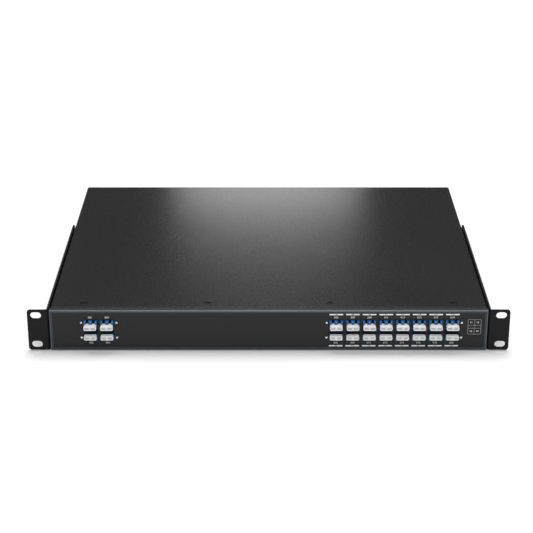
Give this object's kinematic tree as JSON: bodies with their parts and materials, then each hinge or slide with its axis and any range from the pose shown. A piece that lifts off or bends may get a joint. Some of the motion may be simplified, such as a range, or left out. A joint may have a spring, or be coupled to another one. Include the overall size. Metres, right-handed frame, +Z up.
{
  "type": "dense wavelength division multiplexer",
  "caption": "Flat black rack enclosure for passive wavelength multiplexing, with slotted ears and rows of capped duplex fibre ports in a bevelled front panel.",
  "frame": {"origin": "middle of the rack-hole pattern, on the rear face of the ears", "axes": "+X to the right along the front, +Y back into the rack, +Z up"},
  "size_m": [0.4826, 0.3584, 0.044],
  "materials": {
    "black_sheet": "fine black powder coat",
    "bezel": "blue-black anodised",
    "adapter_blue": "moulded, satin gloss",
    "cap_plastic": "milky white",
    "screws": "black zinc",
    "module_case": "satin",
    "drum_plastic": "moulded",
    "fibre": "jacketed fibre"
  },
  "bodies": {
    "enclosure": {"front_panel": "bezel", "chassis_tray": "black_sheet", "top_cover": "black_sheet", "rack_ear_left": "black_sheet", "rack_ear_right": "black_sheet", "cover_screws": "screws", "filter_module_left": "module_case", "filter_module_right": "module_case", "fibre_drums": "drum_plastic", "fibre_coils": "fibre", "fibre_fan_left": "fibre", "fibre_fan_right": "fibre", "inner_connectors": "adapter_blue", "adapter_upper_01": "adapter_blue", "adapter_upper_02": "adapter_blue", "adapter_upper_03": "adapter_blue", "adapter_upper_04": "adapter_blue", "adapter_upper_05": "adapter_blue", "adapter_upper_06": "adapter_blue", "adapter_upper_07": "adapter_blue", "adapter_upper_08": "adapter_blue", "adapter_upper_09": "adapter_blue", "adapter_upper_10": "adapter_blue", "adapter_lower_01": "adapter_blue", "adapter_lower_02": "adapter_blue", "adapter_lower_03": "adapter_blue", "adapter_lower_04": "adapter_blue", "adapter_lower_05": "adapter_blue", "adapter_lower_06": "adapter_blue", "adapter_lower_07": "adapter_blue", "adapter_lower_08": "adapter_blue", "adapter_lower_09": "adapter_blue", "adapter_lower_10": "adapter_blue"},
    "dust_cap_upper_01": {"dust_cap_upper_01": "cap_plastic"},
    "dust_cap_upper_02": {"dust_cap_upper_02": "cap_plastic"},
    "dust_cap_upper_03": {"dust_cap_upper_03": "cap_plastic"},
    "dust_cap_upper_04": {"dust_cap_upper_04": "cap_plastic"},
    "dust_cap_upper_05": {"dust_cap_upper_05": "cap_plastic"},
    "dust_cap_upper_06": {"dust_cap_upper_06": "cap_plastic"},
    "dust_cap_upper_07": {"dust_cap_upper_07": "cap_plastic"},
    "dust_cap_upper_08": {"dust_cap_upper_08": "cap_plastic"},
    "dust_cap_upper_09": {"dust_cap_upper_09": "cap_plastic"},
    "dust_cap_upper_10": {"dust_cap_upper_10": "cap_plastic"},
    "dust_cap_lower_01": {"dust_cap_lower_01": "cap_plastic"},
    "dust_cap_lower_02": {"dust_cap_lower_02": "cap_plastic"},
    "dust_cap_lower_03": {"dust_cap_lower_03": "cap_plastic"},
    "dust_cap_lower_04": {"dust_cap_lower_04": "cap_plastic"},
    "dust_cap_lower_05": {"dust_cap_lower_05": "cap_plastic"},
    "dust_cap_lower_06": {"dust_cap_lower_06": "cap_plastic"},
    "dust_cap_lower_07": {"dust_cap_lower_07": "cap_plastic"},
    "dust_cap_lower_08": {"dust_cap_lower_08": "cap_plastic"},
    "dust_cap_lower_09": {"dust_cap_lower_09": "cap_plastic"},
    "dust_cap_lower_10": {"dust_cap_lower_10": "cap_plastic"}
  },
  "joints": [
    {"name": "pull_upper_01", "type": "slide", "parent": "enclosure", "child": "dust_cap_upper_01", "axis": [0, -1, 0], "range_m": [0, 0.02]},
    {"name": "pull_upper_02", "type": "slide", "parent": "enclosure", "child": "dust_cap_upper_02", "axis": [0, -1, 0], "range_m": [0, 0.02]},
    {"name": "pull_upper_03", "type": "slide", "parent": "enclosure", "child": "dust_cap_upper_03", "axis": [0, -1, 0], "range_m": [0, 0.02]},
    {"name": "pull_upper_04", "type": "slide", "parent": "enclosure", "child": "dust_cap_upper_04", "axis": [0, -1, 0], "range_m": [0, 0.02]},
    {"name": "pull_upper_05", "type": "slide", "parent": "enclosure", "child": "dust_cap_upper_05", "axis": [0, -1, 0], "range_m": [0, 0.02]},
    {"name": "pull_upper_06", "type": "slide", "parent": "enclosure", "child": "dust_cap_upper_06", "axis": [0, -1, 0], "range_m": [0, 0.02]},
    {"name": "pull_upper_07", "type": "slide", "parent": "enclosure", "child": "dust_cap_upper_07", "axis": [0, -1, 0], "range_m": [0, 0.02]},
    {"name": "pull_upper_08", "type": "slide", "parent": "enclosure", "child": "dust_cap_upper_08", "axis": [0, -1, 0], "range_m": [0, 0.02]},
    {"name": "pull_upper_09", "type": "slide", "parent": "enclosure", "child": "dust_cap_upper_09", "axis": [0, -1, 0], "range_m": [0, 0.02]},
    {"name": "pull_upper_10", "type": "slide", "parent": "enclosure", "child": "dust_cap_upper_10", "axis": [0, -1, 0], "range_m": [0, 0.02]},
    {"name": "pull_lower_01", "type": "slide", "parent": "enclosure", "child": "dust_cap_lower_01", "axis": [0, -1, 0], "range_m": [0, 0.02]},
    {"name": "pull_lower_02", "type": "slide", "parent": "enclosure", "child": "dust_cap_lower_02", "axis": [0, -1, 0], "range_m": [0, 0.02]},
    {"name": "pull_lower_03", "type": "slide", "parent": "enclosure", "child": "dust_cap_lower_03", "axis": [0, -1, 0], "range_m": [0, 0.02]},
    {"name": "pull_lower_04", "type": "slide", "parent": "enclosure", "child": "dust_cap_lower_04", "axis": [0, -1, 0], "range_m": [0, 0.02]},
    {"name": "pull_lower_05", "type": "slide", "parent": "enclosure", "child": "dust_cap_lower_05", "axis": [0, -1, 0], "range_m": [0, 0.02]},
    {"name": "pull_lower_06", "type": "slide", "parent": "enclosure", "child": "dust_cap_lower_06", "axis": [0, -1, 0], "range_m": [0, 0.02]},
    {"name": "pull_lower_07", "type": "slide", "parent": "enclosure", "child": "dust_cap_lower_07", "axis": [0, -1, 0], "range_m": [0, 0.02]},
    {"name": "pull_lower_08", "type": "slide", "parent": "enclosure", "child": "dust_cap_lower_08", "axis": [0, -1, 0], "range_m": [0, 0.02]},
    {"name": "pull_lower_09", "type": "slide", "parent": "enclosure", "child": "dust_cap_lower_09", "axis": [0, -1, 0], "range_m": [0, 0.02]},
    {"name": "pull_lower_10", "type": "slide", "parent": "enclosure", "child": "dust_cap_lower_10", "axis": [0, -1, 0], "range_m": [0, 0.02]}
  ]
}
